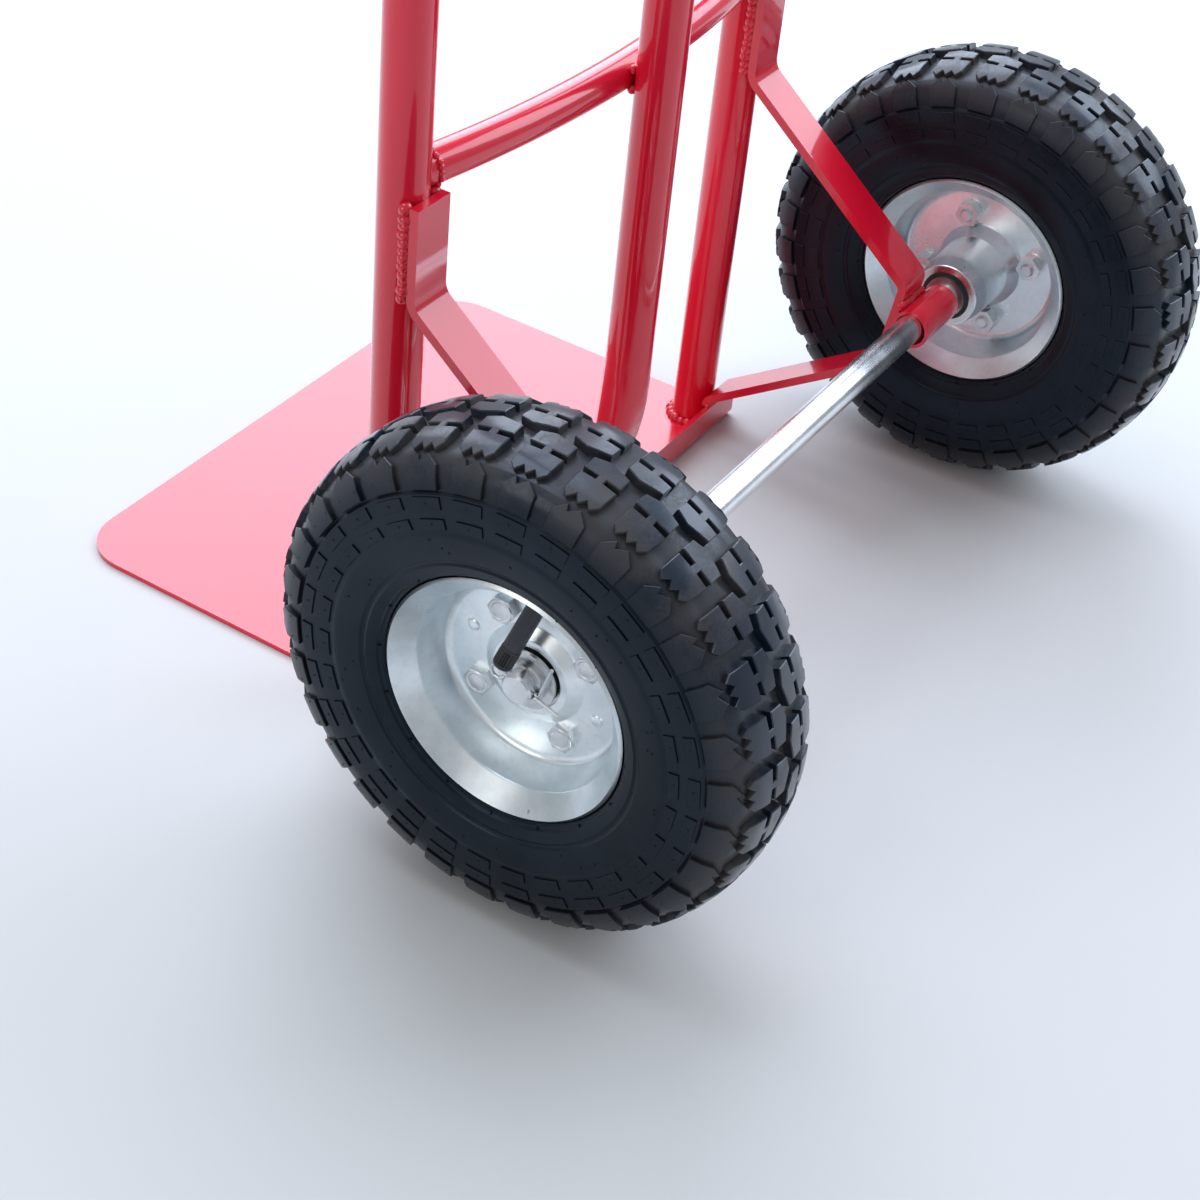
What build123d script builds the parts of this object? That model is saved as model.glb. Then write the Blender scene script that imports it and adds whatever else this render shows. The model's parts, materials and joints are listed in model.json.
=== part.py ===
"""A hand truck: tubular frame, toe plate, two pneumatic wheels on a loose axle.

X runs across the truck, +Y towards the wheels and the person pushing, +Z up.
The origin is on the floor, midway between the toe plate's front edge and the rear
of the tyres. "Left" is the +X side, as seen by the person pushing.
"""
from build123d import *
import os
from math import copysign, cos, hypot, pi, radians, sin

os.makedirs("parts", exist_ok=True)

# Overall sizes, in millimetres. The handle height is taken at the middle of the handles' ends.
handle_height = 1110.0
rail_spacing = 323.0
tyre_diameter = 261.0
axle_to_flange = 121.0

# Toe plate: one folded sheet.
toe_plate_margin = 6.0
toe_depth = 221.5
plate_thickness = 3.0
flange_height = 20.5
toe_corner_radius = 30.0
flange_corner_radius = 4.0
fold_radius = 2.0

# Side rails, their handles and grips.
rail_diameter = 25.0
tube_wall = 1.5
rail_weld_gap = 3.0
handle_length = 190.0
handle_rise = 10.0
handle_bend_radius = 85.0
grip_length = 118.0
grip_wall = 3.2
grip_end = 4.0
grip_guard_height = 4.0
grip_guard_width = 5.0
grip_ridge_height = 0.9
grip_ridge_count = 9

# Bowed cross bars and the centre tube behind them.
cross_bar_diameter = 19.0
cross_bar_bow = 16.5
cross_bar_count = 4
lowest_bar_height = 300.0
top_bar_drop = 50.0
centre_tube_diameter = 25.0
centre_tube_overrun = 22.0
flattening_height = 136.5
flat_end_height = 38.0
flat_end_thickness = 5.0
flat_end_width = 37.0
flattening_steps = 8
plug_length = 14.0
plug_head = 3.0

# Stays: one bent flat bar each side, from the rail round the axle sleeve to the toe plate.
stay_width = 25.0
stay_thickness = 5.0
stay_tab_length = 52.0
upper_leg_slope = 38.7
lower_leg_slope = 33.8
stay_nose_lean = 8.0
stay_bend_radius = 12.0
nose_bend_share = 0.575

# Axle and the sleeves welded to the stays.
axle_diameter = 16.0
axle_chamfer = 1.2
sleeve_play = 2.6
sleeve_wall = 2.0
sleeve_length = 40.0
sleeve_offset = 1.5
rest_clearance = 0.05

# Washers, collars and split pins that keep the wheels on. Widths are from bore to rim.
hub_side_play = 4.55
inner_washer_width = 4.0
inner_washer_thickness = 2.4
spacer_width = 2.5
spacer_thickness = 3.2
outer_washer_width = 7.2
outer_washer_thickness = 2.0
collar_width = 3.0
collar_thickness = 3.0
pin_hole_diameter = 4.4
pin_wire_diameter = 1.9
pin_play = 0.8
pin_edge_distance = 4.2
pin_lean = -12.0
fit_clearance = 0.05

# Ball bearings, two in each hub.
bearing_section = 9.5
bearing_width = 11.0
bearing_ring_thickness = 2.8
ball_diameter = 6.0
ball_count = 8
ball_clearance = 0.1
seal_thickness = 0.8
seal_gap = 0.3

# Rim: two pressed halves bolted back to back, and the hub barrel through them.
rim_sheet = 2.0
disc_corner_radius = 48.3
rim_lip_radius = 52.8
rim_lip_offset = 20.0
rim_edge_radius = 62.2
rim_edge_offset = 30.3
dome_slope_run = 6.0
dome_top_margin = 1.2
dome_over_bearing = 0.9
dome_height = 4.2
hub_wall = 1.5
hub_inboard_length = 49.8
hub_waist_swell = 1.5
hub_flange_width = 7.0
hub_flange_run = 10.0
dimple_radius_on_disc = 36.0
dimple_diameter = 6.0
dimple_height = 0.9

# Bolts through the rim halves.
bolt_to_dome = 7.8
bolt_diameter = 8.0
bolt_hole_clearance = 0.2
bolt_count = 4
bolt_head_across_flats = 13.0
bolt_head_height = 4.4
bolt_end_past_nut = 2.2
nut_height = 6.5
lock_washer_diameter = 14.4
lock_washer_thickness = 1.4
first_bolt_angle = 33.0
left_wheel_turn = 0.0
right_wheel_turn = -13.0

# Tyre, inner tube and valve.
tyre_half_width = 37.0
tyre_tread_thickness = 8.2
tyre_side_thickness = 5.0
bead_width = 5.0
bead_height = 7.6
rim_to_tyre_gap = 0.3
bead_seat_gap = 0.03
tube_skin = 2.0
valve_diameter = 9.2
valve_hole_clearance = 0.4
valve_cap_diameter = 9.8
valve_cap_length = 10.7
valve_foot_offset = 10.0
valve_foot_radius = 49.7
valve_foot_angle = 84.6
valve_length = 38.3
valve_out_lean = 21.8
valve_side_lean = 15.5

# Places worked out from the sizes.
tyre_radius = tyre_diameter / 2
rail_radius = rail_diameter / 2
bar_radius = cross_bar_diameter / 2
axle_radius = axle_diameter / 2
toe_width = rail_spacing + rail_diameter + 2 * toe_plate_margin
overall_depth = toe_depth + axle_to_flange + tyre_radius
axle_y = overall_depth / 2 - tyre_radius
axle_z = tyre_radius
flange_rear_y = axle_y - axle_to_flange
toe_front_y = flange_rear_y - toe_depth
rail_x = rail_spacing / 2
rail_y = flange_rear_y - plate_thickness - rail_weld_gap - rail_radius
handle_corner_z = handle_height - handle_length * sin(radians(handle_rise))
top_bar_z = handle_corner_z - handle_bend_radius - top_bar_drop
centre_tube_radius = centre_tube_diameter / 2
centre_tube_y = rail_y + cross_bar_bow + bar_radius + centre_tube_radius
centre_tube_top = top_bar_z + centre_tube_overrun
sleeve_bore = axle_diameter + sleeve_play
sleeve_radius = sleeve_bore / 2 + sleeve_wall
sleeve_z = axle_z - (sleeve_bore / 2 - axle_radius - rest_clearance)
nose_bend_radius = nose_bend_share * sleeve_radius
bearing_radius = axle_radius + bearing_section
bearing_inner_land = axle_radius + bearing_ring_thickness
bearing_outer_land = bearing_radius - bearing_ring_thickness
hub_radius = bearing_radius + hub_wall
hub_waist_radius = hub_radius + hub_waist_swell
hub_flange_radius = hub_radius + hub_flange_width
dome_hole_radius = bearing_radius - dome_over_bearing
dome_top_radius = hub_radius + dome_top_margin
dome_foot_radius = dome_top_radius + dome_slope_run
bolt_circle_radius = dome_foot_radius + bolt_to_dome
wheel_middle_x = (rail_x + sleeve_offset + sleeve_length / 2 + hub_side_play + inner_washer_thickness
                  + hub_inboard_length)
outer_bearing_face = dome_height - fit_clearance
inner_bearing_face = -hub_inboard_length
axle_half_length = (wheel_middle_x + outer_bearing_face + spacer_thickness + outer_washer_thickness
                    + collar_thickness + pin_play + pin_wire_diameter / 2 + pin_edge_distance)
pin_x = axle_half_length - pin_edge_distance

SIDES = {"left": 1, "right": -1}


def tube_along(path, radius, wall):
    """A round tube that follows a path, with its bore."""
    start = Plane(origin=path @ 0, z_dir=path % 0)
    ring = Circle(radius) - Circle(radius - wall)
    return sweep(start * ring, path=path)


def rod_along(path, radius):
    """A solid round wire that follows a path."""
    start = Plane(origin=path @ 0, z_dir=path % 0)
    return sweep(start * Circle(radius), path=path)


def ring_on_x(low, high, outer, inner):
    """A plain ring round the X axis between two places on it."""
    ring = Circle(outer) - Circle(inner)
    return Plane(origin=(low, 0, 0), z_dir=(1, 0, 0)) * extrude(ring, high - low)


def cylinder_on_x(low, high, radius):
    """A plain cylinder on the X axis between two places on it."""
    return Plane(origin=(low, 0, 0), z_dir=(1, 0, 0)) * extrude(Circle(radius), high - low)


def spun_on_x(outline):
    """A closed outline in the XY plane, x along the axis and y as its radius, turned round X."""
    return revolve(make_face(outline), axis=Axis.X)


def on_bolt_circle(shape, count, radius, first_angle):
    """Copies of a shape that lies on the X axis, moved out to a circle round it."""
    copies = []
    for index in range(count):
        angle = radians(first_angle + 360 / count * index)
        copies.append(Pos(0, radius * cos(angle), radius * sin(angle)) * shape)
    return copies


# Frame -------------------------------------------------------------------------------------

def make_toe_plate():
    sole = Pos(0, toe_front_y, 0) * Box(
        toe_width, toe_depth, plate_thickness, align=(Align.CENTER, Align.MIN, Align.MIN))
    flange = Pos(0, flange_rear_y, 0) * Box(
        toe_width, plate_thickness, flange_height, align=(Align.CENTER, Align.MAX, Align.MIN))
    plate = sole + flange
    front_corners = plate.edges().filter_by(Axis.Z).group_by(Axis.Y)[0]
    plate = fillet(front_corners, toe_corner_radius)
    along_fold = plate.edges().filter_by(Axis.X)
    outer_fold = along_fold.group_by(Axis.Y)[-1].sort_by(Axis.Z)[0]
    plate = fillet(outer_fold, fold_radius + plate_thickness)
    along_fold = plate.edges().filter_by(Axis.X).filter_by(
        lambda edge: abs(edge.center().Z - plate_thickness) < 0.01)
    inner_fold = along_fold.sort_by(Axis.Y)[-1]
    plate = fillet(inner_fold, fold_radius)
    flange_corners = plate.edges().filter_by(Axis.Y).group_by(Axis.Z)[-1]
    return fillet(flange_corners, flange_corner_radius)


def handle_direction():
    return Vector(0, cos(radians(handle_rise)), sin(radians(handle_rise)))


def handle_tip(side):
    corner = Vector(side * rail_x, rail_y, handle_corner_z)
    return corner + handle_direction() * handle_length


def make_side_rail(side):
    foot = (side * rail_x, rail_y, plate_thickness)
    corner = (side * rail_x, rail_y, handle_corner_z)
    path = FilletPolyline(foot, corner, handle_tip(side), radius=handle_bend_radius)
    return tube_along(path, rail_radius, tube_wall)


def make_grip(side):
    """A moulded sleeve with a closed end, a guard at its mouth and ridges round it."""
    at_tip = Plane(origin=handle_tip(side), z_dir=handle_direction())
    body_radius = rail_radius + grip_wall
    body = Cylinder(body_radius, grip_length + grip_end, align=(Align.CENTER, Align.CENTER, Align.MIN))
    body = fillet(body.edges().sort_by(Axis.Z)[-1], grip_end * 0.75)
    guard = Cylinder(body_radius + grip_guard_height, grip_guard_width,
                     align=(Align.CENTER, Align.CENTER, Align.MIN))
    grip = body + fillet(guard.edges(), grip_guard_width * 0.3)
    first_ridge = grip_guard_width * 3
    ridge_pitch = (grip_length - first_ridge) / grip_ridge_count
    ridge = Cylinder(body_radius + grip_ridge_height, ridge_pitch * 0.45,
                     align=(Align.CENTER, Align.CENTER, Align.MIN))
    for index in range(grip_ridge_count):
        grip += Pos(0, 0, first_ridge + ridge_pitch * index) * ridge
    grip -= Cylinder(rail_radius + fit_clearance, grip_length, align=(Align.CENTER, Align.CENTER, Align.MIN))
    return at_tip * Pos(0, 0, -grip_length) * grip


def bar_heights():
    pitch = (top_bar_z - lowest_bar_height) / (cross_bar_count - 1)
    return [lowest_bar_height + pitch * index for index in range(cross_bar_count)]


def make_cross_bar(height):
    """A bowed tube whose ends are coped to fit the side rails."""
    middle = (0, rail_y + cross_bar_bow, height)
    path = ThreePointArc((-rail_x, rail_y, height), middle, (rail_x, rail_y, height))
    bar = tube_along(path, bar_radius, tube_wall)
    for side in SIDES.values():
        bar -= Pos(side * rail_x, rail_y, height) * Cylinder(rail_radius, 4 * bar_radius)
    return bar


def tube_section(height, half_width, half_depth, y, squareness):
    """A level outline of the centre tube: a circle, or a superellipse where it is pressed flat."""
    if squareness == 2:
        return Pos(0, y, height) * Circle(half_width)
    points = []
    for index in range(24):
        angle = 2 * pi * index / 24
        across = abs(cos(angle)) ** (2 / squareness) * half_width
        deep = abs(sin(angle)) ** (2 / squareness) * half_depth
        x = copysign(across, cos(angle))
        points.append((x, y + copysign(deep, sin(angle)), height))
    return make_face(Spline(*points, periodic=True))


def make_centre_tube():
    """A round tube whose lower end is pressed flat and set forward onto the toe plate's flange."""
    flat_y = flange_rear_y + fit_clearance + flat_end_thickness / 2
    outer_sections = []
    inner_sections = []
    for step in range(flattening_steps + 1):
        share = step / flattening_steps
        height = flattening_height + (flat_end_height - flattening_height) * share
        half_width = centre_tube_radius + (flat_end_width / 2 - centre_tube_radius) * share ** 2
        half_depth = centre_tube_radius + (flat_end_thickness / 2 - centre_tube_radius) * share ** 2
        y = centre_tube_y + (flat_y - centre_tube_y) * share ** 2.5
        squareness = 2 + 2 * share
        outer_sections.append(tube_section(height, half_width, half_depth, y, squareness))
        if half_depth > 2.5 * tube_wall:
            inner_sections.append(tube_section(
                height, half_width - tube_wall, half_depth - tube_wall, y, squareness))
    outer_sections.append(tube_section(
        plate_thickness, flat_end_width / 2, flat_end_thickness / 2, flat_y, 4))
    round_length = centre_tube_top - flattening_height
    outer = extrude(outer_sections[0], round_length, dir=(0, 0, 1)) + loft(outer_sections, ruled=True)
    inner = extrude(inner_sections[0], round_length, dir=(0, 0, 1)) + loft(inner_sections, ruled=True)
    return outer - inner


def make_tube_plug():
    """The plastic plug in the centre tube's open top."""
    stem_radius = centre_tube_radius - tube_wall - fit_clearance
    stem = Cylinder(stem_radius, plug_length, align=(Align.CENTER, Align.CENTER, Align.MAX))
    head = Cylinder(centre_tube_radius, plug_head, align=(Align.CENTER, Align.CENTER, Align.MIN))
    head = fillet(head.edges().sort_by(Axis.Z)[-1], plug_head * 0.6)
    return Pos(0, centre_tube_y, centre_tube_top) * (stem + head)


def stay_path(side):
    """The middle line of a stay, in the plane of its rail, from its top tab to the flange."""
    half = stay_thickness / 2
    tab_y = rail_y + rail_radius + half
    upper = radians(upper_leg_slope)
    lower = radians(lower_leg_slope)
    lean = radians(stay_nose_lean)
    # The upper leg's top face is level with the sleeve's outside; the middle line is half a bar lower.
    upper_drop = (sleeve_radius - half) / cos(upper)
    tab_corner_z = sleeve_z + upper_drop + (axle_y - tab_y) * sin(upper) / cos(upper)
    # The nose's middle line passes in front of the sleeve, half a bar off it.
    nose_distance = sleeve_radius + half
    nose_foot_y = -nose_distance / cos(lean)
    across = sin(upper) / cos(upper)
    lean_slope = sin(lean) / cos(lean)
    nose_top_z = (upper_drop - across * nose_foot_y) / (1 + across * lean_slope)
    nose_top_y = nose_foot_y + lean_slope * nose_top_z
    # The lower leg runs from the nose's lower corner forward and down to the flange's top.
    fall = sin(lower) / cos(lower)
    foot_corner_z = flange_height + nose_bend_radius * 0.65
    foot_rise = foot_corner_z - sleeve_z + fall * (axle_y - tab_y)
    nose_bottom_z = (foot_rise + fall * nose_foot_y) / (1 - fall * lean_slope)
    nose_bottom_y = nose_foot_y + lean_slope * nose_bottom_z
    x = side * rail_x
    points = [
        (x, tab_y, tab_corner_z + stay_tab_length),
        (x, tab_y, tab_corner_z),
        (x, axle_y + nose_top_y, sleeve_z + nose_top_z),
        (x, axle_y + nose_bottom_y, sleeve_z + nose_bottom_z),
        (x, tab_y, foot_corner_z),
        (x, tab_y, flange_height),
    ]
    radii = [stay_bend_radius, nose_bend_radius, nose_bend_radius, nose_bend_radius]
    return FilletPolyline(*points, radius=radii)


def make_stay(side):
    path = stay_path(side)
    start = Plane(origin=path @ 0, x_dir=(1, 0, 0), z_dir=path % 0)
    return sweep(start * Rectangle(stay_width, stay_thickness), path=path)


def make_sleeve(side):
    """The short tube, welded to the stay, that the axle lies in with room to spare."""
    middle = rail_x + sleeve_offset
    sleeve = ring_on_x(middle - sleeve_length / 2, middle + sleeve_length / 2, sleeve_radius, sleeve_bore / 2)
    return Pos(0, axle_y, sleeve_z) * (sleeve if side > 0 else mirror(sleeve, about=Plane.YZ))


# Axle --------------------------------------------------------------------------------------

def make_axle():
    rod = cylinder_on_x(-axle_half_length, axle_half_length, axle_radius)
    rod = chamfer(rod.edges().filter_by(GeomType.CIRCLE), axle_chamfer)
    hole = Rot(90 + pin_lean, 0, 0) * Cylinder(pin_hole_diameter / 2, 2 * axle_diameter)
    for side in SIDES.values():
        rod -= Pos(side * pin_x, 0, 0) * hole
    return Pos(0, axle_y, axle_z) * rod


def on_axle(shape, side):
    """Puts a shape made for the left end of the axle where it belongs, on either side."""
    placed = shape if side > 0 else mirror(shape, about=Plane.YZ)
    return Pos(0, axle_y, axle_z) * placed


def make_axle_rings(side):
    """The washers and collars of one wheel, from the frame outwards."""
    bore = axle_radius + fit_clearance
    hub_end = wheel_middle_x + inner_bearing_face
    spacer_in = wheel_middle_x + outer_bearing_face
    washer_in = spacer_in + spacer_thickness
    collar_in = washer_in + outer_washer_thickness
    collar_out = collar_in + collar_thickness
    collar = ring_on_x(collar_in, collar_out, axle_radius + collar_width, bore)
    collar = chamfer(collar.edges().filter_by(GeomType.CIRCLE).group_by(Axis.X)[-1].sort_by(
        SortBy.RADIUS)[-1], collar_thickness * 0.25)
    rings = {
        "inner_washer": ring_on_x(
            hub_end - inner_washer_thickness, hub_end, axle_radius + inner_washer_width, bore),
        "bearing_spacer": ring_on_x(spacer_in, washer_in, axle_radius + spacer_width, bore),
        "outer_washer": ring_on_x(washer_in, collar_in, axle_radius + outer_washer_width, bore),
        "axle_collar": collar,
    }
    return {name: on_axle(ring, side) for name, ring in rings.items()}


def make_split_pin(side):
    """A wire folded into an eye, its two legs through the axle: one bent up, one left straight."""
    half_gap = pin_wire_diameter / 2 + fit_clearance
    eye_neck = -axle_radius - 1.0
    eye_half = 3.6
    eye_far = eye_neck - 7.0
    exit_u = axle_radius + 2.2
    outline = [
        (exit_u + 1.6, 20.0),
        (exit_u, half_gap),
        (eye_neck, half_gap),
        (eye_neck - 1.6, eye_half),
        (eye_far, eye_half),
        (eye_far, -eye_half),
        (eye_neck - 1.6, -eye_half),
        (eye_neck, -half_gap),
        (exit_u, -half_gap),
        (exit_u + 12.0, -half_gap - 1.2),
    ]
    points = [(pin_x, along, up) for along, up in outline]
    bend = pin_wire_diameter / 2 + 0.5
    radii = [bend, bend, bend, eye_half - 0.3, eye_half - 0.3, bend, bend, 20.0]
    wire = rod_along(FilletPolyline(*points, radius=radii), pin_wire_diameter / 2)
    return on_axle(Rot(pin_lean, 0, 0) * wire, side)


# Wheels: made round the X axis, x = 0 at the wheel's middle plane and +x outboard --------------

def rim_face_points():
    """The face of a rim half that shows, from the disc's corner to the edge of its flange."""
    barrel = [(rim_sheet, disc_corner_radius), (rim_lip_offset, rim_lip_radius)]
    return barrel + [(rim_edge_offset, rim_edge_radius)]


def pressed_sheet(points, radii):
    """A sheet pressed to a line in the XY plane, thickened away from its showing face."""
    face_line = FilletPolyline(*[(x, r, 0) for x, r in points], radius=radii)
    behind = offset(face_line, rim_sheet, side=Side.LEFT)
    if behind.bounding_box().max.Y < rim_edge_radius + 0.5 * rim_sheet:
        behind = offset(face_line, rim_sheet, side=Side.RIGHT)
    return spun_on_x(behind)


def bolt_holes():
    hole_radius = bolt_diameter / 2 + bolt_hole_clearance
    hole = cylinder_on_x(-2 * rim_sheet, 2 * rim_sheet, hole_radius)
    return on_bolt_circle(hole, bolt_count, bolt_circle_radius, first_bolt_angle)


def valve_frame():
    """The valve's foot on the rim and the direction in which it points, towards the axle."""
    angle = radians(valve_foot_angle)
    foot = Vector(valve_foot_offset, valve_foot_radius * cos(angle), valve_foot_radius * sin(angle))
    out = radians(valve_out_lean)
    aside = radians(valve_side_lean)
    direction = Vector(sin(out), -cos(out) * sin(aside), -cos(out) * cos(aside))
    return Plane(origin=foot, z_dir=direction)


def make_rim_outer_half():
    dome_face = rim_sheet + dome_height
    points = [
        (dome_face, dome_hole_radius),
        (dome_face, dome_top_radius),
        (rim_sheet, dome_foot_radius),
    ] + rim_face_points()
    rim = pressed_sheet(points, [rim_sheet / 2, rim_sheet, 2 * rim_sheet, 1.5 * rim_sheet])
    for hole in bolt_holes():
        rim -= hole
    dimple = cylinder_on_x(rim_sheet / 2, rim_sheet + dimple_height, dimple_diameter / 2)
    dimple = fillet(dimple.edges().filter_by(GeomType.CIRCLE).sort_by(Axis.X)[-1], 0.85 * dimple_height)
    for placed in on_bolt_circle(dimple, 2, dimple_radius_on_disc, first_bolt_angle - 50):
        rim += placed
    hole_radius = valve_diameter / 2 + valve_hole_clearance
    return rim - valve_frame() * Cylinder(hole_radius, 8 * rim_sheet)


def make_rim_inner_half():
    points = [(rim_sheet, hub_radius + fit_clearance)] + rim_face_points()
    rim = pressed_sheet(points, [2 * rim_sheet, 1.5 * rim_sheet])
    rim = mirror(rim, about=Plane.YZ)
    for hole in bolt_holes():
        rim -= hole
    return rim


def make_hub():
    """The barrel that holds both bearings, flared where it is welded to the rim's inner half."""
    bore = bearing_radius
    stop = bore - hub_wall
    outline = Polyline(
        (inner_bearing_face, bore),
        (inner_bearing_face, hub_radius - 0.4),
        (inner_bearing_face + 0.6, hub_radius),
        (inner_bearing_face + bearing_width, hub_waist_radius),
        (-rim_sheet - hub_flange_run, hub_waist_radius + 1),
        (-2 * rim_sheet, hub_flange_radius),
        (-rim_sheet, hub_flange_radius),
        (-rim_sheet, hub_radius),
        (outer_bearing_face, hub_radius),
        (outer_bearing_face, bore),
        (outer_bearing_face - bearing_width, bore),
        (outer_bearing_face - bearing_width, stop),
        (inner_bearing_face + bearing_width, stop),
        (inner_bearing_face + bearing_width, bore),
        (inner_bearing_face, bore),
    )
    return spun_on_x(outline)


def bearing_middles():
    return [inner_bearing_face + bearing_width / 2, outer_bearing_face - bearing_width / 2]


def bearing_pitch_radius():
    return (bearing_inner_land + bearing_outer_land) / 2


def ball_groove(middle):
    groove = Pos(middle, bearing_pitch_radius()) * Circle(ball_diameter / 2 + ball_clearance)
    return revolve(groove, axis=Axis.X)


def make_bearing_rings(outer, inner):
    rings = []
    for middle in bearing_middles():
        ring = ring_on_x(middle - bearing_width / 2, middle + bearing_width / 2, outer, inner)
        rings.append(ring - ball_groove(middle))
    return rings


def make_bearing_balls():
    balls = []
    for middle in bearing_middles():
        ball = Pos(middle, 0, 0) * Sphere(ball_diameter / 2)
        balls += on_bolt_circle(ball, ball_count, bearing_pitch_radius(), 0)
    return balls


def make_bearing_seals():
    seals = []
    for middle in bearing_middles():
        for face in (-1, 1):
            outer_face = middle + face * (bearing_width / 2 - seal_gap)
            inner_face = outer_face - face * seal_thickness
            seals.append(ring_on_x(min(outer_face, inner_face), max(outer_face, inner_face),
                                   bearing_outer_land, bearing_inner_land + seal_gap))
    return seals


def make_rim_bolts():
    hexagon = RegularPolygon(bolt_head_across_flats / 2, 6, major_radius=False)
    head = Plane(origin=(rim_sheet, 0, 0), z_dir=(1, 0, 0)) * extrude(hexagon, bolt_head_height)
    head &= cylinder_on_x(rim_sheet, rim_sheet + bolt_head_height, bolt_head_across_flats * 0.55)
    end = -rim_sheet - lock_washer_thickness - nut_height - bolt_end_past_nut
    shank = cylinder_on_x(end, rim_sheet, bolt_diameter / 2)
    shank = chamfer(shank.edges().filter_by(GeomType.CIRCLE).sort_by(Axis.X)[0], 0.8)
    return on_bolt_circle(head + shank, bolt_count, bolt_circle_radius, first_bolt_angle)


def make_rim_nuts():
    hexagon = RegularPolygon(bolt_head_across_flats / 2, 6, major_radius=False)
    high = -rim_sheet - lock_washer_thickness
    nut = Plane(origin=(high - nut_height, 0, 0), z_dir=(1, 0, 0)) * extrude(hexagon, nut_height)
    nut -= cylinder_on_x(high - 2 * nut_height, high + nut_height, bolt_diameter / 2 + fit_clearance)
    return on_bolt_circle(nut, bolt_count, bolt_circle_radius, first_bolt_angle)


def make_lock_washers():
    washer = ring_on_x(-rim_sheet - lock_washer_thickness, -rim_sheet, lock_washer_diameter / 2,
                       bolt_diameter / 2 + fit_clearance)
    return on_bolt_circle(washer, bolt_count, bolt_circle_radius, first_bolt_angle)


def rim_back(face_point, share):
    """A point behind the rim's sloping sheet, clear of it, between its lip and the edge of its flange."""
    run = rim_edge_offset - rim_lip_offset
    climb = rim_edge_radius - rim_lip_radius
    length = hypot(run, climb)
    behind = rim_sheet + rim_to_tyre_gap
    x, r = face_point
    return (x + run * share - climb / length * behind, r + climb * share + run / length * behind)


def bead_seat_radius(x):
    """The radius of the tyre's bead where it sits on the back of the rim's barrel."""
    rise = (rim_lip_radius - disc_corner_radius) / (rim_lip_offset - rim_sheet)
    return disc_corner_radius + rise * (x - rim_sheet) + rim_sheet * hypot(1, rise) + bead_seat_gap


def make_tyre():
    """A hollow casing, open towards the rim, with two beads seated on the rim halves."""
    heel_x = rim_back((rim_lip_offset, rim_lip_radius), 0)[0]
    heel = (heel_x, bead_seat_radius(heel_x))
    edge = rim_back((rim_lip_offset, rim_lip_radius), 1)
    toe = (heel_x - bead_width, bead_seat_radius(heel_x - bead_width))
    cheek = (toe[0] + 0.5, toe[1] + bead_height)
    # Shares of the casing's half width and of its height above the rim edge.
    outer_shares = [(0.86, 0.04), (0.955, 0.19), (1.0, 0.42), (0.985, 0.66), (0.87, 0.845), (0.6, 0.955)]
    rise = tyre_radius - edge[1]
    outer = [(tyre_half_width * wide, edge[1] + rise * high) for wide, high in outer_shares]
    inner_half_width = tyre_half_width - tyre_side_thickness
    inner_radius = tyre_radius - tyre_tread_thickness
    inner_shares = [(0.8, 0.17), (0.985, 0.42), (0.97, 0.68), (0.8, 0.88), (0.45, 0.98)]
    inner_rise = inner_radius - cheek[1]
    inner = [(inner_half_width * wide, cheek[1] + inner_rise * high) for wide, high in inner_shares]

    def both_sides(points, crown):
        return points + [(0, crown)] + [(-x, r) for x, r in reversed(points)]

    outside = Spline(*both_sides([edge] + outer, tyre_radius))
    inside = Spline(*both_sides([cheek] + inner, inner_radius))
    lines = [Polyline(edge, heel, toe, cheek)]
    lines.append(Polyline(*[(-x, r) for x, r in (edge, heel, toe, cheek)]))
    return spun_on_x(Curve() + [outside, inside] + lines)


def inner_tube_circle():
    """Middle radius and section radius of the inner tube, as it fills the casing."""
    crown = tyre_radius - tyre_tread_thickness - rim_to_tyre_gap
    section = min(tyre_half_width - tyre_side_thickness - 3 * rim_to_tyre_gap, (crown - rim_edge_radius) / 2)
    return crown - section, section


def make_inner_tube():
    middle, section = inner_tube_circle()
    ring = Pos(0, middle) * (Circle(section) - Circle(section - tube_skin))
    return revolve(ring, axis=Axis.X)


def make_valve():
    """The rubber stem, from the inner tube out through the rim, and its cap."""
    middle, section = inner_tube_circle()
    stem_end = valve_length - valve_cap_length
    into_casing = middle - valve_foot_radius
    stem = Pos(0, 0, -into_casing) * Cylinder(
        valve_diameter / 2, into_casing + stem_end, align=(Align.CENTER, Align.CENTER, Align.MIN))
    stem = valve_frame() * stem
    tube_solid = revolve(Pos(0, middle) * Circle(section + fit_clearance), axis=Axis.X)
    stem = (stem - tube_solid).solids().sort_by(SortBy.VOLUME)[-1]
    cap = Pos(0, 0, stem_end) * Cylinder(
        valve_cap_diameter / 2, valve_cap_length, align=(Align.CENTER, Align.CENTER, Align.MIN))
    cap = fillet(cap.edges().sort_by(Axis.Z)[-1], 1.2)
    return stem, valve_frame() * cap


def make_wheel():
    """Every piece of one wheel, in the wheel's own frame."""
    stem, cap = make_valve()
    half_bore = axle_radius + fit_clearance
    return {
        "tyre": make_tyre(),
        "inner_tube": make_inner_tube(),
        "valve_stem": stem,
        "valve_cap": cap,
        "rim_outer_half": make_rim_outer_half(),
        "rim_inner_half": make_rim_inner_half(),
        "hub_barrel": make_hub(),
        "bearing_outer_rings": make_bearing_rings(bearing_radius, bearing_outer_land),
        "bearing_inner_rings": make_bearing_rings(bearing_inner_land, half_bore),
        "bearing_balls": make_bearing_balls(),
        "bearing_seals": make_bearing_seals(),
        "rim_bolts": make_rim_bolts(),
        "rim_nuts": make_rim_nuts(),
        "rim_lock_washers": make_lock_washers(),
    }


def place_wheel(shape, side, turn):
    turned = Pos(wheel_middle_x, 0, 0) * Rot(turn, 0, 0) * shape
    return on_axle(turned, side)


# Writing -----------------------------------------------------------------------------------

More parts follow.
